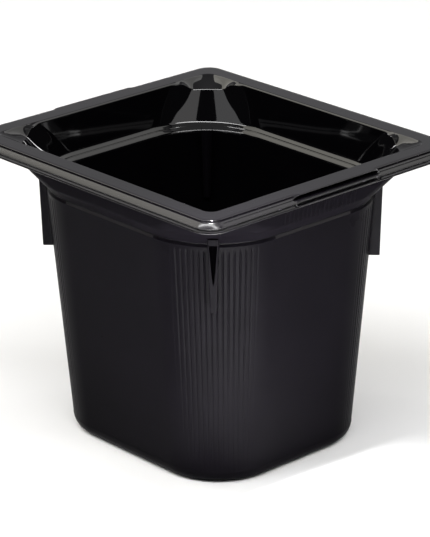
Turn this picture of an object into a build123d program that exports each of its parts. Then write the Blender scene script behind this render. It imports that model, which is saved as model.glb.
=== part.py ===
"""Lipped black display bucket: a rectangular deep-drawn form with a wide flat rim, injection moulded
in one shot. Each node is one named region of that moulding, and neighbouring regions meet face to face.

Millimetres, +Z up. The origin is on the underside of the floor, at the centre of the bucket.
X runs along the longer sides of the rim; the finger notches are on the two shorter sides, at -X and +X.
"""
from build123d import *
import os

# Rim, seen from above
RIM_LENGTH = 176.0          # along X, over the skirt
RIM_WIDTH = 162.0           # along Y, over the skirt
HEIGHT = 150.0              # underside of the floor to the top of the rim
RIM_CORNER = 10.2           # plan radius of the rim's outer corners
EDGE_ROUND = 2.7            # roll-over between the flat top and the skirt
SKIRT_DROP = 6.0            # top of the rim to the lower edge of the skirt
SKIRT_THICKNESS = 2.2
FLANGE_THICKNESS = 2.6
OPENING_INSET = 12.3        # skirt to the inner edge of the flat
OPENING_CORNER = 4.0

# Tapered body
WALL = 2.6
FLOOR = 3.2
FOOT_ROUND = 4.5            # rounding between the floor and the walls
FOOT_INSET = 26.5           # skirt to the body wall, produced down to the floor
FOOT_CORNER = 32.0
FOOT_HEIGHT = 6.0           # height of the base region
SHOULDER_Z = 125.7          # top of the tapered body, where the neck starts to flare
SHOULDER_INSET = 16.4
SHOULDER_CORNER = 40.3

# Neck outside, from the shoulder up to the flange
FLARE_Z = 131.5
FLARE_INSET = 12.6
FLARE_CORNER = 43.0
NECK_TOP_INSET = 9.7
NECK_TOP_CORNER = 8.0

# Upper chamber inside: a ledge, tapered walls, and a sloping pocket in each corner
LEDGE_Z = 131.0
LEDGE_INSET = 15.3
LEDGE_CORNER = 41.0
POCKET_Z = 145.6            # inner edge of the corner pockets
POCKET_INSET = 12.9
POCKET_CORNER = 26.0
POCKET_TOP = 149.2          # above this the opening has straight sides

# Finger notches in the rolled edge, on the two shorter sides
NOTCH_LENGTH = 52.0
NOTCH_LIP = 1.4             # how far the flat top reaches over the notch
NOTCH_DEPTH = 2.1           # height of the notch's back wall
GROOVE_HEIGHT = 1.4         # groove under the notch's step
GROOVE_DEPTH = 0.9
GROOVE_BELOW_STEP = 0.5

# Stacking lugs: upright fins on the four corners, in the diagonal planes
LUG_BOTTOM_Z = 93.0
LUG_TOP_Z = 131.0
LUG_REACH_BOTTOM = 42.7     # from the centre of the corner's curve to the outer edge of the fin
LUG_REACH_TOP = 44.0
LUG_ROOT = 30.0
LUG_THICKNESS_BOTTOM = 3.2
LUG_THICKNESS_TOP = 5.6

# Grip ribs on the neck, under the finger notches
RIB_COUNT = 17
RIB_PITCH = 2.8
RIB_WIDTH = 1.3
RIB_HEIGHT = 0.7

FLANGE_Z = HEIGHT - FLANGE_THICKNESS
SKIRT_Z = HEIGHT - SKIRT_DROP
SPLIT_X = RIM_LENGTH / 2 - SHOULDER_INSET - SHOULDER_CORNER     # side and corner regions part here
SPLIT_Y = RIM_WIDTH / 2 - SHOULDER_INSET - SHOULDER_CORNER
BEYOND = 20.0               # how far cutting shapes run past the bucket


def outline(inset, corner, z):
    """Rounded rectangle at height z, its sides a constant inset from the skirt of the rim."""
    return Pos(0, 0, z) * RectangleRounded(RIM_LENGTH - 2 * inset, RIM_WIDTH - 2 * inset, corner)


def stack(*levels):
    """Solid that passes through (inset, corner, z) outlines from the bottom up, straight between them."""
    solid = loft([outline(*levels[0]), outline(*levels[1])], ruled=True)
    for lower, upper in zip(levels[1:], levels[2:]):
        solid += loft([outline(*lower), outline(*upper)], ruled=True)
    return solid


def body_level(z, extra=0.0):
    """Outline of the tapered body at height z, moved in by extra."""
    share = z / SHOULDER_Z
    inset = FOOT_INSET + (SHOULDER_INSET - FOOT_INSET) * share
    corner = FOOT_CORNER + (SHOULDER_CORNER - FOOT_CORNER) * share
    return inset + extra, corner - extra, z


def block(low, high):
    """Box between two opposite corners."""
    size = [top - bottom for bottom, top in zip(low, high)]
    centre = [(top + bottom) / 2 for bottom, top in zip(low, high)]
    return Pos(*centre) * Box(*size)


def prism(points, z_low, z_high):
    """Upright prism over a plan outline."""
    face = make_face(Polyline(*points, close=True))
    return extrude(Pos(0, 0, z_low) * face, amount=z_high - z_low)


def bucket_outside():
    """Everything inside the outer skin of the body and neck, up to the underside of the flange."""
    body = stack(body_level(0), body_level(SHOULDER_Z))
    body = fillet(body.faces().sort_by(Axis.Z)[0].edges(), FOOT_ROUND)
    neck = stack(
        (SHOULDER_INSET, SHOULDER_CORNER, SHOULDER_Z),
        (FLARE_INSET, FLARE_CORNER, FLARE_Z),
        (NECK_TOP_INSET, NECK_TOP_CORNER, FLANGE_Z),
    )
    return body, neck


def bucket_inside():
    """The hollow: tapered well, ledge, upper chamber with its corner pockets, and the rim opening."""
    well = stack(body_level(FLOOR, WALL), body_level(SHOULDER_Z, WALL))
    ledge_start = body_level(SHOULDER_Z, WALL)
    chamber = stack(
        ledge_start,
        (LEDGE_INSET, LEDGE_CORNER, LEDGE_Z),
        (POCKET_INSET, POCKET_CORNER, POCKET_Z),
        (OPENING_INSET, OPENING_CORNER, POCKET_TOP),
        (OPENING_INSET, OPENING_CORNER, HEIGHT),
    )
    return well, chamber


def side_region(name, z_low, z_high):
    """Space that holds one straight side, between the two corner regions next to it."""
    far_x = RIM_LENGTH / 2 + BEYOND
    far_y = RIM_WIDTH / 2 + BEYOND
    spans = {
        "front": ((-SPLIT_X, -far_y), (SPLIT_X, 0)),
        "back": ((-SPLIT_X, 0), (SPLIT_X, far_y)),
        "left": ((-far_x, -SPLIT_Y), (0, SPLIT_Y)),
        "right": ((0, -SPLIT_Y), (far_x, SPLIT_Y)),
    }
    low, high = spans[name]
    return block((*low, z_low), (*high, z_high))


def corner_region(sign_x, sign_y, z_low, z_high):
    """Space that holds one corner, from the ends of the straight sides outwards."""
    xs = sorted((sign_x * SPLIT_X, sign_x * (RIM_LENGTH / 2 + BEYOND)))
    ys = sorted((sign_y * SPLIT_Y, sign_y * (RIM_WIDTH / 2 + BEYOND)))
    return block((xs[0], ys[0], z_low), (xs[1], ys[1], z_high))


def rim_ring(chamber):
    """Flat flange with a rolled outer edge and a short skirt, still in one piece all round."""
    slab = extrude(outline(0, RIM_CORNER, SKIRT_Z), amount=SKIRT_DROP)
    slab = fillet(slab.faces().sort_by(Axis.Z)[-1].edges(), EDGE_ROUND)
    under = outline(SKIRT_THICKNESS, RIM_CORNER - SKIRT_THICKNESS, SKIRT_Z)
    return slab - extrude(under, amount=FLANGE_Z - SKIRT_Z) - chamber


def notched(ring):
    """Ring with a finger notch in the rolled edge at each end: a lip, a step and a groove below it."""
    edge = RIM_LENGTH / 2
    half = NOTCH_LENGTH / 2
    lip = edge - EDGE_ROUND + NOTCH_LIP
    step_z = HEIGHT - NOTCH_DEPTH
    groove_top = step_z - GROOVE_BELOW_STEP
    for side in (-1, 1):
        def slot(x_from, x_to, z_low, z_high):
            xs = sorted((side * x_from, side * x_to))
            return block((xs[0], -half, z_low), (xs[1], half, z_high))
        ring += slot(edge - EDGE_ROUND - 1, lip, step_z, HEIGHT)
        ring += slot(lip - 1, edge, FLANGE_Z, step_z)
        ring -= slot(lip, edge + 1, step_z, HEIGHT + 1)
        ring -= slot(edge - GROOVE_DEPTH, edge + 1, groove_top - GROOVE_HEIGHT, groove_top)
    return ring


def rim_region(name):
    """Mitred space that holds one side of the rim."""
    x = RIM_LENGTH / 2 + BEYOND
    y = RIM_WIDTH / 2 + BEYOND
    depth = 2 * BEYOND + OPENING_INSET
    sides = {
        "front": [(-x, -y), (x, -y), (x - depth, depth - y), (depth - x, depth - y)],
        "back": [(-x, y), (x, y), (x - depth, y - depth), (depth - x, y - depth)],
        "left": [(-x, -y), (-x, y), (depth - x, y - depth), (depth - x, depth - y)],
        "right": [(x, -y), (x, y), (x - depth, y - depth), (x - depth, depth - y)],
    }
    return prism(sides[name], SKIRT_Z - 1, HEIGHT + 1)


def stacking_lug(sign_x, sign_y, skin):
    """Fin in the corner's diagonal plane that thickens upwards, trimmed to the skin it grows from."""
    def section(reach, thickness, z):
        centre = (LUG_ROOT + reach) / 2
        return Pos(centre, 0, z) * Rectangle(reach - LUG_ROOT, thickness)
    fin = loft(
        [
            section(LUG_REACH_BOTTOM, LUG_THICKNESS_BOTTOM, LUG_BOTTOM_Z),
            section(LUG_REACH_TOP, LUG_THICKNESS_TOP, LUG_TOP_Z),
        ],
        ruled=True,
    )
    heading = {(1, 1): 45, (-1, 1): 135, (-1, -1): 225, (1, -1): 315}[(sign_x, sign_y)]
    fin = Pos(sign_x * SPLIT_X, sign_y * SPLIT_Y, 0) * Rot(0, 0, heading) * fin
    return fin - skin


def grip_ribs(side, skin):
    """Row of upright ribs on the neck under one finger notch, trimmed to the neck."""
    edge = RIM_LENGTH / 2
    profile = [
        (edge - FLARE_INSET - 2, FLANGE_Z),
        (edge - FLARE_INSET - 2, FLARE_Z - 1),
        (edge - FLARE_INSET - 0.5, FLARE_Z - 1),
        (edge - FLARE_INSET + RIB_HEIGHT, FLARE_Z + 1),
        (edge - NECK_TOP_INSET + RIB_HEIGHT, FLANGE_Z),
    ]
    face = Plane.XZ * make_face(Polyline(*profile, close=True))
    rib = extrude(face, amount=RIB_WIDTH / 2, both=True)
    if side < 0:
        rib = mirror(rib, about=Plane.YZ)
    rib -= skin
    first = -RIB_PITCH * (RIB_COUNT - 1) / 2
    return Compound(children=[Pos(0, first + RIB_PITCH * i, 0) * rib for i in range(RIB_COUNT)])


CORNERS = {
    "front_left": (-1, -1),
    "front_right": (1, -1),
    "back_left": (-1, 1),
    "back_right": (1, 1),
}
SIDES = ("front", "back", "left", "right")


def build():
    """All regions of the moulding, by node name."""
    body_outside, neck_outside = bucket_outside()
    well, chamber = bucket_inside()
    body = body_outside - well
    neck = neck_outside - chamber
    skin = body_outside + neck_outside
    ring = notched(rim_ring(chamber))

    nodes = {}
    wide = (RIM_LENGTH, RIM_WIDTH)
    nodes["base_floor"] = body & block((-wide[0], -wide[1], -1), (*wide, FOOT_HEIGHT))
    for name in SIDES:
        nodes[f"wall_{name}"] = body & side_region(name, FOOT_HEIGHT, SHOULDER_Z)
        nodes[f"neck_{name}"] = neck & side_region(name, SHOULDER_Z, FLANGE_Z)
        nodes[f"rim_{name}"] = ring & rim_region(name)
    for name, signs in CORNERS.items():
        nodes[f"corner_{name}"] = body & corner_region(*signs, FOOT_HEIGHT, SHOULDER_Z)
        nodes[f"neck_corner_{name}"] = neck & corner_region(*signs, SHOULDER_Z, FLANGE_Z)
        nodes[f"stacking_lug_{name}"] = stacking_lug(*signs, skin)
    nodes["grip_ribs_left"] = grip_ribs(-1, skin)
    nodes["grip_ribs_right"] = grip_ribs(1, skin)
    return nodes


if __name__ == "__main__":
    os.makedirs("parts", exist_ok=True)
    for node, shape in build().items():
        export_step(shape, f"parts/{node}.step")
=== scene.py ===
"""Looks of the lipped black bucket: a glossy injection-moulded shell, drawn as smooth skins of rings.

The frame is in metres. Section sizes below are in millimetres, as on a drawing, and turned into metres
when a mesh is made. Every skin is a stack of rings; each ring is a rounded rectangle round the bucket.
"""
import math

import bpy
import numpy as np
from mathutils import Matrix, Vector


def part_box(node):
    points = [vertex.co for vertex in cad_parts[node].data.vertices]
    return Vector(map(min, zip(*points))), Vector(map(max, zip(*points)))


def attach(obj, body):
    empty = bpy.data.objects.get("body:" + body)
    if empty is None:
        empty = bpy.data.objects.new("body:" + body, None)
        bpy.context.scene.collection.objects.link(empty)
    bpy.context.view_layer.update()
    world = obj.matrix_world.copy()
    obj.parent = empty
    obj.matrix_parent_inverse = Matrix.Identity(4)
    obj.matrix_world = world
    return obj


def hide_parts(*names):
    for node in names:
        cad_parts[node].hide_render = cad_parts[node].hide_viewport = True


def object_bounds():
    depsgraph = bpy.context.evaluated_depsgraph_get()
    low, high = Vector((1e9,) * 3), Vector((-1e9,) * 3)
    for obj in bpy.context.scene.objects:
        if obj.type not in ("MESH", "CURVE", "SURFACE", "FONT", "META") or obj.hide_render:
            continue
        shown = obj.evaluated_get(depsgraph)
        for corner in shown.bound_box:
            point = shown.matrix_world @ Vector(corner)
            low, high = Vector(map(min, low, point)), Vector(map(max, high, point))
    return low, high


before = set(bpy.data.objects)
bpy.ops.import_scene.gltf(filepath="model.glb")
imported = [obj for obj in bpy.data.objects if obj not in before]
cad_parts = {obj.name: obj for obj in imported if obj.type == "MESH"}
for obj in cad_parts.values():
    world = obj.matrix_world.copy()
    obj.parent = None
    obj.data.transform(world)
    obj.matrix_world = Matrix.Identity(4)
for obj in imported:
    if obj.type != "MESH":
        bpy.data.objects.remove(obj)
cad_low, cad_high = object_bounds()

MM = 0.001

# ---------------------------------------------------------------- sizes from the frame
HALF_X = cad_high.x / MM
HALF_Y = cad_high.y / MM
TOP = cad_high.z / MM
SKIRT_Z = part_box("rim_front")[0].z / MM
SHOULDER_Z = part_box("wall_front")[1].z / MM
FOOT_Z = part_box("base_floor")[1].z / MM
LUG_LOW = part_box("stacking_lug_front_right")[0].z / MM
LUG_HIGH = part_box("stacking_lug_front_right")[1].z / MM
FOOT_SPREAD = 0.5           # about what the walls taper over the height of the base
FOOT_INSET = HALF_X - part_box("base_floor")[1].x / MM + FOOT_SPREAD
SHOULDER_INSET = HALF_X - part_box("wall_right")[1].x / MM
FLANGE_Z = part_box("neck_front")[1].z / MM
NECK_TOP_INSET = HALF_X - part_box("neck_right")[1].x / MM
RIB_SPAN = (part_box("grip_ribs_right")[1].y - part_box("grip_ribs_right")[0].y) / MM

# ---------------------------------------------------------------- rim section, mm
RIM_CORNER = 10.2
ROLL = 2.7                  # the flat's outer border, where it drops to the bevelled edge
BEVEL_BULGE = 0.05          # how far the bevel is crowned
CREASE = 1.2                # depth of the line between the flat and the bevel
EDGE_GROOVE = 0.55          # depth of the line between the bevel and the skirt
SKIRT_STEP = 0.3            # how far the skirt's face stays behind the bead along its lower edge
END_LINE = 0.3              # depth of the extra line in the bevel of the two notched sides
BEVEL_MIDDLE = 13           # the point of the edge's section that END_LINE sinks
SKIRT_THICKNESS = 2.2
FLAT_INSET = 11.1           # skirt to the inner border of the flat
FLAT_CORNER = 5.2
RIM_CORNER_COLUMNS = 28
NOTCH_HALF = 26.0
NOTCH_END = 2.6             # half the length over which a notch fades out
NOTCH_LIP = 1.4             # how far the flat's lip stays back from the skirt's face, behind the bevel
NOTCH_DEPTH = 2.3           # top of the rim to the notch's step
NOTCH_SLOT = 5.4            # inset of the back of the slot under the lip
NOTCH_GROOVE = 1.8          # depth of the groove under the step

# ---------------------------------------------------------------- body section, mm
WALL = 2.6
FLOOR_THICKNESS = 3.2
FOOT_CORNER = 32.0
SHOULDER_CORNER = 40.3
FOOT_ROUND = (4.5, 5.0)     # inwards and upwards
UNDERSIDE_RECESS = 0.6
FLARE_Z = 131.5
FLARE_INSET = 12.6
FLARE_CORNER = 43.0
NECK_TOP_CORNER = 8.0
SHOULDER_STEP = 0.8         # how far the neck starts behind the body's top edge
# Points (below the shoulder, inwards) of the body's top edge, a chamfer with small roundings.
SHOULDER_EDGE = ((2.1, 0.0), (1.5, 0.0), (1.35, 0.02), (1.25, 0.06), (0.1, 0.6), (0.04, 0.65), (0.0, 0.71))
CHAMFER_STEPS = 4           # the chamfer and its roundings are the last steps of that edge
REED_PITCH = 4.05           # degrees between the fine grooves round each corner
REED_COUNT = 16
REED_DEPTH = 0.6
REED_TOP = 122.8            # height at which the grooves end
REED_FADE = (20, 112)       # heights between which they deepen

# ---------------------------------------------------------------- inside, mm
LEDGE_Z = 130.7
LEDGE_INSET = 15.3
LEDGE_CORNER = 41.0
LEDGE_EDGE_Z = 127.6        # the ledge's inner edge, where the well starts
LEDGE_LINE = 0.65           # depth of the fine line along the middle of the ledge
POCKET_ANGLES = (30, 15)    # degrees from the corner's diagonal: a pocket's end and its full depth
CHORD_Z = 145.6             # lower edge of the corner pockets
CHORD_INSET = 12.9
CHORD_CORNER = 26.0
SIDE_TOP_INSET = 12.35      # along the sides the flat rolls over to here
SIDE_TOP_Z = TOP - 1.25
LEDGE_CURVE = 6             # rows in the curves at the ledge's two borders
POCKET_CURVE = 5            # and in the curve at the pockets' lower edge
FLOOR_ROUND = 4.0           # rounding between the well's walls and its floor

SECTORS = ("right", "back_right", "back", "back_left", "left", "front_left", "front", "front_right")


# ================================================================ rings and grids
def smooth(low, high, value):
    """0 below low, 1 above high, an S-curve between."""
    t = np.clip((value - low) / (high - low), 0.0, 1.0)
    return t * t * (3 - 2 * t)


def stations(side_x, side_y, corner):
    """Sector and share along it of every column, anticlockwise from the right-hand side."""
    sector, share = [], []
    for number, name in enumerate(SECTORS):
        shares = corner if "_" in name else side_y if name in ("left", "right") else side_x
        sector += [number] * len(shares)
        share += list(shares)
    return np.array(sector), np.array(share)


def even(count):
    """Shares of count columns, evenly spaced along a sector."""
    return [i / count for i in range(count)]


def loop(places, inset, corner, z):
    """One ring; its inset from the skirt, corner radius and height may each vary from column to column."""
    sector, share = places
    quarter = sector // 2
    heading = quarter * math.pi / 2
    ahead = np.stack([np.cos(heading), np.sin(heading)], 1)
    aside = np.stack([-np.sin(heading), np.cos(heading)], 1)
    on_corner = sector % 2 == 1
    turn = heading + np.where(on_corner, share, 0) * math.pi / 2
    along = np.where(on_corner, 1.0, 2 * share - 1)
    half_ahead = np.where(quarter % 2 == 0, HALF_X, HALF_Y) - inset - corner
    half_aside = np.where(quarter % 2 == 0, HALF_Y, HALF_X) - inset - corner
    flat = ahead * half_ahead[:, None] + aside * (along * half_aside)[:, None]
    outward = np.stack([np.cos(turn), np.sin(turn)], 1)
    flat = flat + outward * (np.zeros(len(sector)) + corner)[:, None]
    return np.column_stack([flat, np.zeros(len(sector)) + z])


def outward_of(places):
    """Plan direction that each column faces."""
    sector, share = places
    turn = (sector // 2 + np.where(sector % 2 == 1, share, 0)) * math.pi / 2
    return np.column_stack([np.cos(turn), np.sin(turn), np.zeros(len(sector))])


def off_diagonal(places):
    """Angle of each column from its corner's diagonal, in degrees; 45 all along the sides."""
    sector, share = places
    return np.where(sector % 2 == 1, np.abs(share - 0.5) * 90, 45.0)


def arc(centre, radius, start, end, count):
    """Points (inset, z) on an arc; the angle runs from start to end in degrees, 0 is outwards and 90 up."""
    angles = np.radians(np.linspace(start, end, count))
    return [(centre[0] - radius * math.cos(a), centre[1] + radius * math.sin(a)) for a in angles]


def softened(rows, at, reach, count):
    """Rows with row number at turned into a small curve of count rows, which ends reach away from it."""
    before, edge, after = rows[at - 1], rows[at], rows[at + 1]
    to_before = before - edge
    to_after = after - edge
    length_before = np.linalg.norm(to_before, axis=1, keepdims=True)
    length_after = np.linalg.norm(to_after, axis=1, keepdims=True)
    start = edge + to_before * np.minimum(reach / length_before, 0.48)
    end = edge + to_after * np.minimum(reach / length_after, 0.48)
    curve = []
    for t in np.linspace(0, 1, count):
        curve.append(start * (1 - t) ** 2 + edge * 2 * t * (1 - t) + end * t ** 2)
    return rows[:at] + curve + rows[at + 1:]


def grid_normals(grid):
    """Normal at every point of a closed stack of rings, weighted by the area of the faces round it."""
    following = np.roll(grid, -1, axis=1)
    first = following[1:] - grid[:-1]
    second = grid[1:] - following[:-1]
    faces = np.cross(first, second)
    total = np.zeros_like(grid)
    total[:-1] += faces
    total[1:] += faces
    total[:-1] += np.roll(faces, 1, axis=1)
    total[1:] += np.roll(faces, 1, axis=1)
    length = np.linalg.norm(total, axis=2, keepdims=True)
    return total / np.maximum(length, 1e-12)


class Skin:
    """A stack of rings in mm, with its normals, from which pieces are cut."""

    def __init__(self, places, rows):
        self.places = places
        self.grid = np.array(rows)
        self.normals = grid_normals(self.grid)

    def cut(self, rows, sectors=None, part=None):
        """Points, normals and faces between two rows, all round or over some sectors or columns."""
        first, last = rows
        total = self.grid.shape[1]
        if part is not None:
            columns = part
        elif sectors is None:
            columns = list(range(total)) + [0]
        else:
            wanted = [SECTORS.index(name) for name in sectors]
            columns = list(np.flatnonzero(np.isin(self.places[0], wanted)))
            columns.append((columns[-1] + 1) % total)
        closed = columns[0] == columns[-1]
        points, normals, faces = [], [], []
        for row in range(first, last + 1):
            ring = self.grid[row]
            if np.ptp(ring, axis=0).max() < 1e-6:
                points.append(ring[:1])
                normals.append(self.normals[row][:1])
            else:
                chosen = columns[:-1] if closed else columns
                points.append(ring[chosen])
                normals.append(self.normals[row][chosen])
        starts = np.cumsum([0] + [len(p) for p in points])
        for i in range(len(points) - 1):
            low, high = starts[i], starts[i + 1]
            low_count, high_count = len(points[i]), len(points[i + 1])
            for c in range(len(columns) - 1):
                a = low + c % low_count
                b = low + (c + 1) % low_count
                d = high + c % high_count
                e = high + (c + 1) % high_count
                corners = [a, b, e, d]
                face = [v for k, v in enumerate(corners) if v != corners[k - 1]]
                faces.append(face)
        return np.concatenate(points), np.concatenate(normals), faces


def make_piece(name, node, patches, materials):
    """A mesh that stands for one CAD node; a patch is (points, normals, faces, material numbers).

    The last of these is one number for the whole patch, or a list with a number for each face.
    """
    points, normals, faces, numbers = [], [], [], []
    for patch_points, patch_normals, patch_faces, number in patches:
        start = sum(len(p) for p in points)
        points.append(patch_points)
        normals.append(patch_normals)
        faces += [[start + v for v in face] for face in patch_faces]
        numbers += [number] * len(patch_faces) if isinstance(number, int) else number
    mesh = bpy.data.meshes.new(name)
    mesh.from_pydata((np.concatenate(points) * MM).tolist(), [], faces)
    for material in materials:
        mesh.materials.append(material)
    mesh.polygons.foreach_set("material_index", numbers)
    mesh.polygons.foreach_set("use_smooth", [True] * len(faces))
    mesh.normals_split_custom_set_from_vertices(np.concatenate(normals).tolist())
    mesh.update()
    piece = bpy.data.objects.new(name, mesh)
    bpy.context.scene.collection.objects.link(piece)
    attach(piece, "root")
    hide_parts(node)


# ================================================================ materials
def plastic(name, tint, roughness, specular, grain, waves, dust):
    """Black moulded plastic: fine grain, long soft waves, rubbed patches, hairlines and a little dust.

    roughness is (least, most); grain and waves are heights in mm; dust is the share of cells with a speck.
    """
    material = bpy.data.materials.new(name)
    material.use_nodes = True
    nodes, links = material.node_tree.nodes, material.node_tree.links
    shader = nodes["Principled BSDF"]
    shader.inputs["Specular IOR Level"].default_value = specular
    shader.inputs["IOR"].default_value = 1.5
    place = nodes.new("ShaderNodeTexCoord").outputs["Object"]

    def noise(scale, detail, source=place):
        node = nodes.new("ShaderNodeTexNoise")
        node.inputs["Scale"].default_value = scale
        node.inputs["Detail"].default_value = detail
        links.new(source, node.inputs["Vector"])
        return node.outputs["Fac"]

    def ramp(source, low, high, from_low, from_high):
        node = nodes.new("ShaderNodeMapRange")
        node.inputs["From Min"].default_value = from_low
        node.inputs["From Max"].default_value = from_high
        node.inputs["To Min"].default_value = low
        node.inputs["To Max"].default_value = high
        links.new(source, node.inputs["Value"])
        return node.outputs["Result"]

    def add(first, second):
        node = nodes.new("ShaderNodeMath")
        node.operation = "ADD"
        links.new(first, node.inputs[0])
        links.new(second, node.inputs[1])
        return node.outputs["Value"]

    def stretched(scale, turn):
        node = nodes.new("ShaderNodeMapping")
        node.inputs["Scale"].default_value = scale
        node.inputs["Rotation"].default_value = turn
        links.new(place, node.inputs["Vector"])
        return node.outputs["Vector"]

    rubbed = ramp(noise(38, 4), *roughness, 0.2, 0.8)
    hairlines = ramp(noise(1.0, 2, stretched((60, 1500, 1100), (0.3, 0.2, 0.7))), 0.0, 0.10, 0.68, 0.74)
    links.new(add(rubbed, hairlines), shader.inputs["Roughness"])

    mottled = nodes.new("ShaderNodeMix")
    mottled.data_type = "RGBA"
    mottled.inputs["A"].default_value = (*[c * 0.85 for c in tint], 1)
    mottled.inputs["B"].default_value = (*[c * 1.18 for c in tint], 1)
    links.new(ramp(noise(55, 5), 0.0, 1.0, 0.2, 0.8), mottled.inputs["Factor"])

    cells = nodes.new("ShaderNodeTexVoronoi")
    cells.inputs["Scale"].default_value = 75
    links.new(place, cells.inputs["Vector"])
    near = ramp(cells.outputs["Distance"], 1.0, 0.0, 0.02, 0.035)
    lucky = nodes.new("ShaderNodeSeparateColor")
    links.new(cells.outputs["Color"], lucky.inputs["Color"])
    chosen = ramp(lucky.outputs["Red"], 1.0, 0.0, dust, dust + 0.001)
    speck = nodes.new("ShaderNodeMath")
    speck.operation = "MULTIPLY"
    links.new(near, speck.inputs[0])
    links.new(chosen, speck.inputs[1])
    dusty = nodes.new("ShaderNodeMix")
    dusty.data_type = "RGBA"
    dusty.inputs["B"].default_value = (0.32, 0.31, 0.29, 1)
    links.new(speck.outputs["Value"], dusty.inputs["Factor"])
    links.new(mottled.outputs["Result"], dusty.inputs["A"])
    links.new(dusty.outputs["Result"], shader.inputs["Base Color"])

    fine = nodes.new("ShaderNodeBump")
    fine.inputs["Distance"].default_value = grain * MM
    links.new(noise(1400, 3), fine.inputs["Height"])
    long_waves = nodes.new("ShaderNodeBump")
    long_waves.inputs["Distance"].default_value = waves * MM
    links.new(noise(26, 2), long_waves.inputs["Height"])
    links.new(long_waves.outputs["Normal"], fine.inputs["Normal"])
    links.new(fine.outputs["Normal"], shader.inputs["Normal"])
    return material


BLACK = (0.0029, 0.0025, 0.0035)
satin = plastic("satin_outside", BLACK, (0.26, 0.36), 0.016, 0.006, 0.18, dust=0.012)
# Painted shade for the lugs' hollows: a near-black colour with no specular makes them look deep and unlit.
hollow_painted_shade = plastic("painted_shade_hollow", (0.0006, 0.0005, 0.0007), (0.55, 0.65), 0.0, 0.004, 0.08, dust=0.0)
matt = plastic("matt_neck", BLACK, (0.34, 0.44), 0.006, 0.006, 0.12, dust=0.006)
polished = plastic("polished_edge", BLACK, (0.16, 0.24), 0.26, 0.004, 0.10, dust=0.006)
# Painted highlight: a lighter grey colour on the top edge of the four walls stands in for the light line
# there.
edge_painted_highlight = plastic("painted_highlight_edge", (0.017, 0.016, 0.017), (0.40, 0.50), 0.02, 0.004, 0.10, dust=0.006)
rim_gloss = plastic("gloss_rim", BLACK, (0.13, 0.20), 0.50, 0.004, 0.08, dust=0.006)
inner_gloss = plastic("gloss_inside", (0.0012, 0.0011, 0.0015), (0.03, 0.06), 0.50, 0.0006, 0.08,
                      dust=0.002)


# ================================================================ the outside of the body and neck
def body_ring(z, extra=0.0):
    """Inset and corner radius of the tapered body at height z."""
    share = z / SHOULDER_Z
    inset = FOOT_INSET + (SHOULDER_INSET - FOOT_INSET) * share
    corner = FOOT_CORNER + (SHOULDER_CORNER - FOOT_CORNER) * share
    return inset + extra, corner - extra


def reed_stations():
    """Columns of a corner: close together in the grooves round its middle, wider apart beside them."""
    half = REED_COUNT * REED_PITCH / 2
    angles = list(np.linspace(-45, -half, 6)[:-1])
    for i in range(REED_COUNT):
        start = -half + i * REED_PITCH
        angles += [start + REED_PITCH * share for share in (0.0, 0.22, 0.34, 0.42, 0.5, 0.58, 0.66, 0.78)]
    angles += list(np.linspace(half, 45, 6)[:-1])
    return [angle / 90 + 0.5 for angle in angles]


OUTSIDE = stations(even(14), even(12), reed_stations())


def reeding(z):
    """How far the fine upright grooves of the corners sink the surface at height z."""
    angle = (OUTSIDE[1] - 0.5) * 90
    from_groove = np.abs((angle / REED_PITCH) % 1.0 - 0.5)
    groove = smooth(0.17, 0.02, from_groove)
    strength = (0.25 + 0.75 * smooth(*REED_FADE, z)) * smooth(REED_TOP, REED_TOP - 1.6, z)
    half = REED_COUNT * REED_PITCH / 2
    at_ends = smooth(half + 1, half - 9, np.abs(angle))
    return np.where(OUTSIDE[0] % 2 == 1, REED_DEPTH * strength * groove * at_ends, 0.0)


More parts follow.
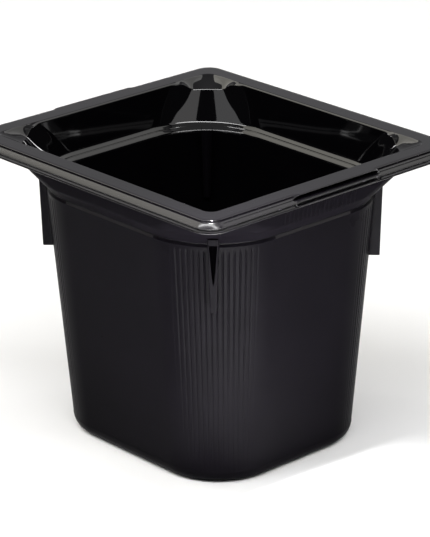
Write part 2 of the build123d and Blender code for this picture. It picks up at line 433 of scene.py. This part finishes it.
def outside_skin():
    """From the middle of the underside, round the foot and up the body and neck to the flange."""
    rows = []
    flat_inset, flat_corner = body_ring(0, FOOT_ROUND[0])
    rim_of_base = loop(OUTSIDE, flat_inset, flat_corner, 0)
    for share, sunk in ((0.0, 1), (0.3, 1), (0.6, 1), (0.85, 1), (0.88, 0.8), (0.9, 0.2), (0.92, 0),
                        (1.0, 0)):
        row = rim_of_base * [share, share, 0]
        row[:, 2] = UNDERSIDE_RECESS * sunk
        rows.append(row)
    for t in np.linspace(0, math.pi / 2, 9)[1:]:
        z = FOOT_ROUND[1] * (1 - math.cos(t))
        rows.append(loop(OUTSIDE, *body_ring(z, FOOT_ROUND[0] * (1 - math.sin(t))), z))
    for z, bulge in ((5.3, 0.06), (5.6, 0.10), (FOOT_Z, 0.05)):
        rows.append(loop(OUTSIDE, *body_ring(z, -bulge), z))
    foot_row = len(rows) - 1
    heights = [6.6, 9, 14, 22, 32, 42, 52, 62, 72, 82, 92, 100, 107, 113, 118]
    heights += [120.6, 121.2, 121.8, 122.4, 123.2]      # close together where the grooves end
    for z in heights:
        rows.append(loop(OUTSIDE, *body_ring(z), z) - outward_of(OUTSIDE) * reeding(z)[:, None])
    for below, back in SHOULDER_EDGE:
        rows.append(loop(OUTSIDE, *body_ring(SHOULDER_Z - below, back), SHOULDER_Z - below))
    shoulder_row = len(rows) - 1
    rows.append(loop(OUTSIDE, SHOULDER_INSET + SHOULDER_STEP, SHOULDER_CORNER - SHOULDER_STEP,
                     SHOULDER_Z + 0.15))
    rise = FLARE_Z - SHOULDER_Z
    for share in (0.2, 0.4, 0.6, 0.8):
        start = SHOULDER_INSET + SHOULDER_STEP * (1 - share)
        inset = start + (FLARE_INSET - SHOULDER_INSET) * share
        corner = SHOULDER_CORNER + (FLARE_CORNER - SHOULDER_CORNER) * share
        rows.append(loop(OUTSIDE, inset, corner, SHOULDER_Z + rise * share))
    rows.append(loop(OUTSIDE, FLARE_INSET, FLARE_CORNER, FLARE_Z))
    flare_row = len(rows) - 1
    rows.append(loop(OUTSIDE, NECK_TOP_INSET, NECK_TOP_CORNER, FLANGE_Z))
    rows = softened(rows, flare_row, 1.6, 6)
    top = rows.pop()
    under = rows[-1]
    for share in (0.15, 0.3, 0.45, 0.6, 0.75, 0.9, 1.0):
        rows.append(under + (top - under) * share)
    rows.append(top + [0, 0, 0.8])
    return Skin(OUTSIDE, rows), foot_row, shoulder_row


# ================================================================ the rim
def notch_shares():
    """Columns along the two shorter sides, close together where the notches end."""
    half = HALF_Y - RIM_CORNER
    ends = np.linspace(NOTCH_HALF - NOTCH_END - 0.4, NOTCH_HALF + NOTCH_END + 0.4, 19)
    beyond = np.linspace(NOTCH_HALF + NOTCH_END + 0.4, half, 7)[1:-1]
    between = np.linspace(-ends[0], ends[0], 9)[1:-1]
    ys = [-half, *(-beyond[::-1]), *(-ends[::-1]), *between, *ends, *beyond]
    return [(y + half) / (2 * half) for y in ys]


RIM = stations(even(12), notch_shares(), even(RIM_CORNER_COLUMNS))


def rim_corner(inset):
    """Corner radius of the rim's rings: concentric over the bevelled edge, then easing to the flat's."""
    if inset <= ROLL:
        return RIM_CORNER - inset
    share = (inset - ROLL) / (FLAT_INSET - ROLL)
    return (RIM_CORNER - ROLL) * (1 - share) + FLAT_CORNER * share


def edge_sections():
    """The rim's outer edge as (inset, z) points, plain and in a notch, point for point, from below.

    Plain, it is a bead, the skirt's face, a groove, a bevel and a drop under the flat's outer border.
    """
    low = SKIRT_Z
    step_z = TOP - NOTCH_DEPTH
    lip = NOTCH_LIP
    face = SKIRT_STEP
    plain = [(0.0, low + 0.3), (0.0, low + 0.42), (face - 0.03, low + 0.75), (face, low + 0.95),
             (face, low + 1.85), (EDGE_GROOVE, low + 2.05), (EDGE_GROOVE, low + 2.3), (0.16, low + 2.46)]
    notch = [(0.0, low + 0.3), (0.0, low + 0.6), (0.0, low + 0.9), (0.12, low + 1.05),
             (NOTCH_GROOVE, low + 1.1), (NOTCH_GROOVE, low + 1.85), (NOTCH_GROOVE, low + 2.6),
             (0.2, low + 2.7)]
    start = np.array((0.2, low + 2.74))
    end = np.array((ROLL - 0.75, TOP - 1.15))
    plain += [(0.1, low + 2.56), (0.14, low + 2.66)]
    for share in (0.0, 0.16, 0.34, 0.5, 0.66, 0.84, 1.0):
        bulge = BEVEL_BULGE * 4 * share * (1 - share)
        inset, z = start + (end - start) * share
        plain.append((inset - bulge * 0.7, z + bulge * 0.7))
    notch += [(0.02, low + 2.88), (0.0, step_z - 0.45), (0.05, step_z - 0.16), (0.22, step_z),
              (1.5, step_z), (NOTCH_SLOT, step_z + 0.05), (NOTCH_SLOT, TOP - 0.65),
              (lip + 0.25, TOP - 0.55), (lip, TOP - 0.4)]
    plain += [(ROLL - 0.62, TOP - 1.12), (ROLL - 0.32, TOP - CREASE), (ROLL - 0.2, TOP - 0.35),
              (ROLL + 0.05, TOP)]
    notch += [(lip, TOP - 0.2), (lip + 0.12, TOP - 0.03), (lip + 0.6, TOP), (ROLL + 0.05, TOP)]
    return plain, notch


def rim_skin():
    """From under the flange, round the skirt and the bevelled edge, to the inner border of the flat."""
    under = [(inset, FLANGE_Z) for inset in (FLAT_INSET + 0.6, NECK_TOP_INSET - 0.3, 6.0, 3.4)]
    inner = SKIRT_THICKNESS
    under += [(inner + 0.35, FLANGE_Z - 0.06), (inner + 0.06, FLANGE_Z - 0.35), (inner, FLANGE_Z - 1.2)]
    under += [(inner, SKIRT_Z + 0.45), (inner - 0.14, SKIRT_Z + 0.12), (inner - 0.45, SKIRT_Z)]
    under += [(0.5, SKIRT_Z), (0.15, SKIRT_Z + 0.14)]
    flat = [(ROLL + 1.6, TOP), (6.5, TOP), (9.0, TOP), (FLAT_INSET, TOP)]
    plain, notch = edge_sections()
    ys = loop(RIM, 0, RIM_CORNER, 0)[:, 1]
    on_end = np.isin(RIM[0], [SECTORS.index("right"), SECTORS.index("left")])
    cut = smooth(NOTCH_HALF + NOTCH_END, NOTCH_HALF - NOTCH_END, np.abs(ys)) * on_end
    rows = [loop(RIM, inset, rim_corner(inset), z) for inset, z in under]
    line_row = len(rows) + BEVEL_MIDDLE
    for (inset, z), (notch_inset, notch_z) in zip(plain, notch):
        row = loop(RIM, inset, rim_corner(inset), z)
        if len(rows) == line_row:
            row -= outward_of(RIM) * (END_LINE * on_end)[:, None]
        cut_row = loop(RIM, notch_inset, rim_corner(inset), notch_z)
        cut_row[:, 1] = row[:, 1]
        rows.append(row + (cut_row - row) * cut[:, None])
    rows += [loop(RIM, inset, rim_corner(inset), z) for inset, z in flat]
    return Skin(RIM, rows)


# ================================================================ the inside
INSIDE = stations(even(16), even(14), even(96))


def flat_border():
    """The flat's inner border, met by lines that fan out from the centres of the pocket edges' curves."""
    sector, share = INSIDE
    row = loop(INSIDE, FLAT_INSET, CHORD_CORNER, TOP)
    reach = CHORD_INSET + CHORD_CORNER - FLAT_INSET
    square = reach - FLAT_CORNER
    angle = share * math.pi / 2
    cosine, sine = np.cos(angle), np.sin(angle)
    straight = reach / np.maximum(cosine, sine)
    forward = (cosine + sine) * square
    round_end = forward + np.sqrt(np.maximum(forward ** 2 - 2 * square ** 2 + FLAT_CORNER ** 2, 0))
    distance = np.where(straight * np.minimum(cosine, sine) <= square, straight, round_end)
    centre = loop(INSIDE, CHORD_INSET + CHORD_CORNER, 0, TOP)
    on_corner = sector % 2 == 1
    fanned = centre + outward_of(INSIDE) * distance[:, None]
    sides = loop(INSIDE, FLAT_INSET, CHORD_CORNER - FLAT_INSET + CHORD_INSET, TOP)
    row[on_corner] = fanned[on_corner]
    row[~on_corner] = sides[~on_corner]
    return row


def inside_skin():
    """From the flat's border over the pockets, down the chamber, the ledge and the well, to the floor."""
    angle = off_diagonal(INSIDE)
    pocket = smooth(*POCKET_ANGLES, angle)
    border = flat_border()
    edge_inset = SIDE_TOP_INSET + (CHORD_INSET - SIDE_TOP_INSET) * smooth(44, 30, angle)
    edge_z = SIDE_TOP_Z + (CHORD_Z - SIDE_TOP_Z) * pocket
    edge = loop(INSIDE, edge_inset, CHORD_CORNER + CHORD_INSET - edge_inset, edge_z)
    wide = smooth(44.5, 30, angle)
    rows = []
    for t in np.linspace(0, 1, 15):
        across = math.sin(t * math.pi / 2) * (1 - wide) + t * wide
        down_side = 1 - math.cos(t * math.pi / 2)
        down_dish = (1.2 * t - 0.2 * t * t) * float(smooth(-0.02, 0.14, t))
        down = down_side * (1 - wide) + down_dish * wide
        row = border + (edge - border) * across[:, None]
        row[:, 2] = TOP - (TOP - edge_z) * down
        rows.append(row)
    edge_row = len(rows) - 1
    foot = loop(INSIDE, LEDGE_INSET, LEDGE_CORNER, LEDGE_Z)
    for share in (0.12, 0.3, 0.5, 0.7, 0.85):
        rows.append(edge + (foot - edge) * share)
    rows.append(foot)
    foot_row = len(rows) - 1
    inner_inset, inner_corner = body_ring(SHOULDER_Z, WALL)
    brink = loop(INSIDE, inner_inset, inner_corner, LEDGE_EDGE_Z)
    line_depth = LEDGE_LINE * (0.25 + 0.75 * smooth(12, 34, angle))
    for share, sunk in ((0.34, 0.0), (0.40, 0.1), (0.46, 1.0), (0.52, 0.1), (0.58, 0.0)):
        row = foot + (brink - foot) * share
        row[:, 2] -= line_depth * sunk
        rows.append(row)
    rows.append(brink)
    lip_row = len(rows) - 1
    for z in (123, 115, 100, 80, 60, 40, 25, 12):
        rows.append(loop(INSIDE, *body_ring(z, WALL), z))
    rows = softened(rows, lip_row, 1.1, LEDGE_CURVE)
    rows = softened(rows, foot_row, 1.1, LEDGE_CURVE)
    rows = softened(rows, edge_row, 0.7, POCKET_CURVE)
    ledge_row = lip_row + (LEDGE_CURVE - 1) + (POCKET_CURVE - 1)
    well_end = len(rows)
    for t in np.linspace(0, math.pi / 2, 7):
        z = FLOOR_THICKNESS + FLOOR_ROUND * (1 - math.sin(t))
        rows.append(loop(INSIDE, *body_ring(z, WALL + FLOOR_ROUND * (1 - math.cos(t))), z))
    last = rows[-1]
    for share in (0.8, 0.5, 0.2, 0.0):
        rows.append(last * [share, share, 1])
    return Skin(INSIDE, rows), ledge_row, well_end


# ================================================================ lugs and grip ribs
CORNERS = {"front_left": (-1, -1), "front_right": (1, -1), "back_left": (-1, 1), "back_right": (1, 1)}
LUG_ROOT = 33.0             # from the centre of the corner's curve to the fin's hidden inner edge
LUG_REACH = (42.7, 43.8)    # and to its outer edge, at the bottom and the top
LUG_THICKNESS = (3.2, 5.4)
LUG_EDGE = 0.45             # rounding of the fin's edges
LUG_LIP = 0.7               # least thickness beside the hollow in the fin's outer face
HOLLOW_LOW = 107.0          # the hollow narrows downwards to a point at this height
HOLLOW_TOP = 126.2
HOLLOW_TIP = 0.12           # half its width at that point
HOLLOW_FULL = 6             # it reaches its full width this far below the fin's top
HOLLOW_DEPTH = 2.0
HOLLOW_COLUMN = 7           # the hollow's faces start at this point of a fin's section


def lug_mesh(heading):
    """Fin in a corner's diagonal plane: section rings from the bottom up, hollowed out near the top."""
    centre_x = HALF_X - SHOULDER_INSET - SHOULDER_CORNER
    centre_y = HALF_Y - SHOULDER_INSET - SHOULDER_CORNER
    sign_x, sign_y = heading
    levels = [(LUG_LOW, 0.75), (LUG_LOW + 0.12, 0.25), (LUG_LOW + 0.45, 0.0)]
    heights = [*np.linspace(LUG_LOW + 4, LUG_HIGH - 1.5, 34), HOLLOW_TOP, HOLLOW_TOP + 0.3]
    levels += [(z, 0.0) for z in sorted(heights)]
    rings = []
    for z, pulled_in in levels:
        share = (z - LUG_LOW) / (LUG_HIGH - LUG_LOW)
        reach = LUG_REACH[0] + (LUG_REACH[1] - LUG_REACH[0]) * share - pulled_in * LUG_EDGE
        thickness = LUG_THICKNESS[0] + (LUG_THICKNESS[1] - LUG_THICKNESS[0]) * share
        half = thickness / 2 - pulled_in * LUG_EDGE
        opening = float(np.clip((z - HOLLOW_LOW) / (LUG_HIGH - HOLLOW_FULL - HOLLOW_LOW), 0, 1))
        width = HOLLOW_TIP + (half - LUG_LIP - HOLLOW_TIP) * opening ** 0.55
        sink = HOLLOW_DEPTH * min(1.0, 4 * opening) * (z <= HOLLOW_TOP)
        side = [(LUG_ROOT, half), (reach - 3.0, half), (reach - LUG_EDGE, half)]
        side += [(reach - LUG_EDGE * (1 - math.sin(a)), half - LUG_EDGE * (1 - math.cos(a)))
                 for a in np.radians([30, 60, 90])]
        side += [(reach - min(sink, 0.01), width + 0.06), (reach - min(sink, 0.12), width),
                 (reach - sink * 0.5, width * 0.8), (reach - sink, width * 0.5)]
        ring = side + [(x, -y) for x, y in reversed(side)]
        rings.append([(x, y, z) for x, y in ring])
    grid = np.array(rings)
    angle = math.atan2(sign_y, sign_x)
    x = grid[..., 0] * math.cos(angle) - grid[..., 1] * math.sin(angle) + sign_x * centre_x
    y = grid[..., 0] * math.sin(angle) + grid[..., 1] * math.cos(angle) + sign_y * centre_y
    grid = np.stack([x, y, grid[..., 2]], axis=2)[:, ::-1]
    bottom = grid[:1] * [0, 0, 1] + grid[:1].mean(axis=1, keepdims=True) * [1, 1, 0]
    return np.concatenate([bottom, grid])


def closed_patch(grid, recess):
    """Patch over a fin's closed section rings; the faces in its hollow get material number 1, the painted
    shade.
    """
    normals = grid_normals(grid)
    count = grid.shape[1]
    faces, numbers = [], []
    for row in range(grid.shape[0] - 1):
        for c in range(count):
            a, b = row * count + c, row * count + (c + 1) % count
            faces.append([a, b, b + count, a + count])
            height = grid[row, c, 2]
            numbers.append(int(recess <= c <= count - 2 - recess and HOLLOW_LOW < height <= HOLLOW_TOP))
    return grid.reshape(-1, 3), normals.reshape(-1, 3), faces, numbers


RIB_COUNT = 17
RIB_WIDTH = 1.3
RIB_HEIGHT = 0.42
RIB_SUNK = 0.2              # how far the ribs' edges lie inside the neck


def grip_ribs(side):
    """Rounded upright ribs on the neck under one finger notch, which run out into the flare."""
    patches = []
    pitch = (RIB_SPAN - RIB_WIDTH) / (RIB_COUNT - 1)
    edge = side * HALF_X
    path = [(FLARE_INSET + 0.9, FLARE_Z - 1.4, 0.0), (FLARE_INSET + 0.4, FLARE_Z - 0.6, 0.55)]
    path += [(FLARE_INSET + (NECK_TOP_INSET - FLARE_INSET) * share,
              FLARE_Z + (FLANGE_Z + 0.3 - FLARE_Z) * share, 1.0) for share in (0.04, 0.2, 0.5, 0.8, 1.0)]
    for i in range(RIB_COUNT):
        middle = (i - (RIB_COUNT - 1) / 2) * pitch
        rings = []
        for inset, z, height in path:
            ring = []
            for t in np.linspace(0, math.pi, 9):
                out = RIB_HEIGHT * height * math.sin(t) - RIB_SUNK
                ring.append((edge - side * (inset - out), middle - side * RIB_WIDTH / 2 * math.cos(t), z))
            rings.append(ring)
        grid = np.array(rings)
        faces = []
        count = grid.shape[1]
        for row in range(grid.shape[0] - 1):
            for c in range(count - 1):
                a = row * count + c
                faces.append([a, a + 1, a + 1 + count, a + count])
        step = np.gradient(grid, axis=1)
        up = np.gradient(grid, axis=0)
        normal = np.cross(step, up)
        normal /= np.maximum(np.linalg.norm(normal, axis=2, keepdims=True), 1e-12)
        patches.append((grid.reshape(-1, 3), normal.reshape(-1, 3), faces, 0))
    return patches


# ================================================================ cutting the skins into pieces
outside, foot_row, shoulder_row = outside_skin()
inside, ledge_row, well_end = inside_skin()
rim = rim_skin()
outside_last = len(outside.grid) - 1
edge_row = shoulder_row - CHAMFER_STEPS
inside_last = len(inside.grid) - 1
SKINS = [satin, inner_gloss, matt, polished, edge_painted_highlight]
SATIN, INNER, MATT, POLISHED, PAINTED_HIGHLIGHT = range(len(SKINS))

make_piece("base", "base_floor",
           [(*outside.cut((0, foot_row)), SATIN), (*inside.cut((well_end, inside_last)), INNER)], SKINS)
for name in SECTORS:
    node = f"corner_{name}" if "_" in name else f"wall_{name}"
    # The walls' top edge gets the painted highlight; the corners' edge keeps the satin.
    edge = SATIN if "_" in name else PAINTED_HIGHLIGHT
    make_piece(f"body_{name}", node,
               [(*outside.cut((foot_row, edge_row), [name]), SATIN),
                (*outside.cut((edge_row, shoulder_row), [name]), edge),
                (*inside.cut((ledge_row, well_end), [name]), INNER)], SKINS)
    node = f"neck_corner_{name}" if "_" in name else f"neck_{name}"
    make_piece(f"upper_{name}", node,
               [(*outside.cut((shoulder_row, shoulder_row + 1), [name]), POLISHED),
                (*outside.cut((shoulder_row + 1, outside_last), [name]), MATT),
                (*inside.cut((0, ledge_row), [name]), INNER)], SKINS)

half_corner = RIM_CORNER_COLUMNS // 2       # the rim's four pieces meet in the middle of its corners
sector_starts = [int(np.flatnonzero(RIM[0] == number)[0]) for number in range(len(SECTORS))]
rim_last = len(rim.grid) - 1
rim_total = rim.grid.shape[1]
for number in range(0, len(SECTORS), 2):
    start = sector_starts[number - 1] + half_corner
    end = sector_starts[(number + 1) % len(SECTORS)] + half_corner
    count = (end - start) % rim_total
    columns = [(start + i) % rim_total for i in range(count + 1)]
    make_piece(f"lip_{SECTORS[number]}", f"rim_{SECTORS[number]}",
               [(*rim.cut((0, rim_last), part=columns), 0)], [rim_gloss])

# Material 1 of each lug is the painted shade in its hollow.
for name, signs in CORNERS.items():
    make_piece(f"lug_{name}", f"stacking_lug_{name}", [closed_patch(lug_mesh(signs), HOLLOW_COLUMN)],
               [satin, hollow_painted_shade])
for name, side in (("left", -1), ("right", 1)):
    make_piece(f"ribs_{name}", f"grip_ribs_{name}", grip_ribs(side), [matt])


# ================================================================ floor, light and camera
def plain_floor():
    """Large pale floor, in metres, just under the bucket."""
    half = 6.0
    count = 12
    gap = 0.0002
    steps = np.linspace(-half, half, count + 1)
    points = [(x, y, cad_low.z - gap) for y in steps for x in steps]
    faces = []
    for row in range(count):
        for c in range(count):
            a = row * (count + 1) + c
            faces.append([a, a + 1, a + count + 2, a + count + 1])
    mesh = bpy.data.meshes.new("floor")
    mesh.from_pydata(points, [], faces)
    floor = bpy.data.objects.new("floor", mesh)
    bpy.context.scene.collection.objects.link(floor)
    paper = bpy.data.materials.new("pale_floor")
    paper.use_nodes = True
    nodes, links = paper.node_tree.nodes, paper.node_tree.links
    shader = nodes["Principled BSDF"]
    shader.inputs["Roughness"].default_value = 0.9
    shader.inputs["Specular IOR Level"].default_value = 0.1
    tone = nodes.new("ShaderNodeTexNoise")
    tone.inputs["Scale"].default_value = 3.0
    shade = nodes.new("ShaderNodeValToRGB")
    shade.color_ramp.elements[0].color = (0.90, 0.90, 0.90, 1)
    shade.color_ramp.elements[1].color = (0.93, 0.93, 0.93, 1)
    links.new(tone.outputs["Fac"], shade.inputs["Fac"])
    links.new(shade.outputs["Color"], shader.inputs["Base Color"])
    mesh.materials.append(paper)


CAMERA_AZIMUTH = math.radians(47.57)
CAMERA_ELEVATION = math.radians(21.44)
CAMERA_ROLL = math.radians(-0.45)
CAMERA_DISTANCE = 1.41167   # metres, like the two sizes below
LOOK_AT_ASIDE = 0.00210
LOOK_AT_HEIGHT = 0.08286
LENS = 194.16               # focal length in mm
SENSOR_WIDTH = 36.0


def direction(azimuth, elevation):
    """Unit vector; azimuth 0 is towards -Y and 90 towards +X."""
    return Vector((math.sin(azimuth) * math.cos(elevation),
                   -math.cos(azimuth) * math.cos(elevation), math.sin(elevation)))


def make_camera():
    """Long-lens camera above the front right-hand corner."""
    back = direction(CAMERA_AZIMUTH, CAMERA_ELEVATION)
    right = Vector((math.cos(CAMERA_AZIMUTH), math.sin(CAMERA_AZIMUTH), 0))
    up = back.cross(right)
    c, s = math.cos(CAMERA_ROLL), math.sin(CAMERA_ROLL)
    turned_right = right * c + up * s
    turned_up = up * c - right * s
    place = right * LOOK_AT_ASIDE + Vector((0, 0, LOOK_AT_HEIGHT)) + back * CAMERA_DISTANCE
    data = bpy.data.cameras.new("camera")
    data.lens = LENS
    data.sensor_width = SENSOR_WIDTH
    data.clip_end = 50
    camera = bpy.data.objects.new("camera", data)
    bpy.context.scene.collection.objects.link(camera)
    turn = Matrix((turned_right, turned_up, back)).transposed().to_4x4()
    camera.matrix_world = Matrix.Translation(place) @ turn
    bpy.context.scene.camera = camera


AIM_HEIGHT = 0.10           # metres; the lights face a point this high in the bucket
POOL_LAMP = 0.06            # metres; radius of the lamp over the floor


def softbox(name, azimuth, elevation, distance, width, height, radiance, tint):
    """Area light that faces the bucket; azimuth is measured from the camera's, to the right."""
    data = bpy.data.lights.new(name, "AREA")
    data.shape = "RECTANGLE"
    data.size = width
    data.size_y = height
    data.energy = radiance * math.pi * width * height
    data.color = tint
    light = bpy.data.objects.new(name, data)
    bpy.context.scene.collection.objects.link(light)
    towards = direction(CAMERA_AZIMUTH + math.radians(azimuth), math.radians(elevation))
    light.location = Vector((0, 0, AIM_HEIGHT)) + towards * distance
    light.rotation_euler = towards.to_track_quat("Z", "Y").to_euler()


def spot_on_floor(azimuth, reach, height, radius, power):
    """Soft round pool of light on the floor in front of the bucket."""
    data = bpy.data.lights.new("floor_pool", "SPOT")
    data.energy = power
    data.spot_size = 2 * math.atan(radius / height)
    data.spot_blend = 1.0
    data.shadow_soft_size = POOL_LAMP
    light = bpy.data.objects.new("floor_pool", data)
    bpy.context.scene.collection.objects.link(light)
    light.location = direction(CAMERA_AZIMUTH + math.radians(azimuth), 0) * reach + Vector((0, 0, height))


def make_light():
    """Studio light: large soft boxes, narrow bright strips, and a pool of light on the floor."""
    softbox("backdrop", 180, 21, 3.0, 5.4, 2.2, 0.35, (0.98, 0.97, 1.0))
    softbox("back_high", 180, 64, 2.6, 3.0, 2.4, 0.28, (0.98, 0.97, 1.0))
    softbox("overhead", 0, 82, 2.0, 1.7, 1.1, 0.40, (1.0, 1.0, 1.0))
    softbox("side_left", -110, 44, 2.2, 2.2, 1.3, 2.5, (1.0, 0.97, 0.88))
    softbox("side_right", 108, 44, 2.2, 2.2, 1.3, 1.5, (1.0, 0.99, 0.96))
    softbox("front_left", -46, 42, 2.2, 1.2, 1.5, 1.35, (0.98, 0.98, 1.0))
    softbox("front_right", 36, 42, 2.2, 1.2, 1.5, 1.35, (1.0, 0.98, 0.98))
    softbox("strip_left", -118, 20, 2.0, 0.10, 0.8, 14.0, (1.0, 1.0, 1.0))
    softbox("strip_right", 118, 20, 2.0, 0.10, 0.8, 14.0, (1.0, 1.0, 1.0))
    softbox("hot_strip", -14, 61, 2.0, 3.4, 0.18, 20.0, (1.0, 1.0, 1.0))
    spot_on_floor(9, 0.27, 1.4, 0.22, 1700.0)
    world = bpy.data.worlds.new("studio")
    world.use_nodes = True
    world.node_tree.nodes["Background"].inputs["Color"].default_value = (0.98, 0.97, 1.0, 1)
    world.node_tree.nodes["Background"].inputs["Strength"].default_value = 0.02
    bpy.context.scene.world = world
    bpy.context.scene.view_settings.view_transform = "Standard"


plain_floor()
make_camera()
make_light()
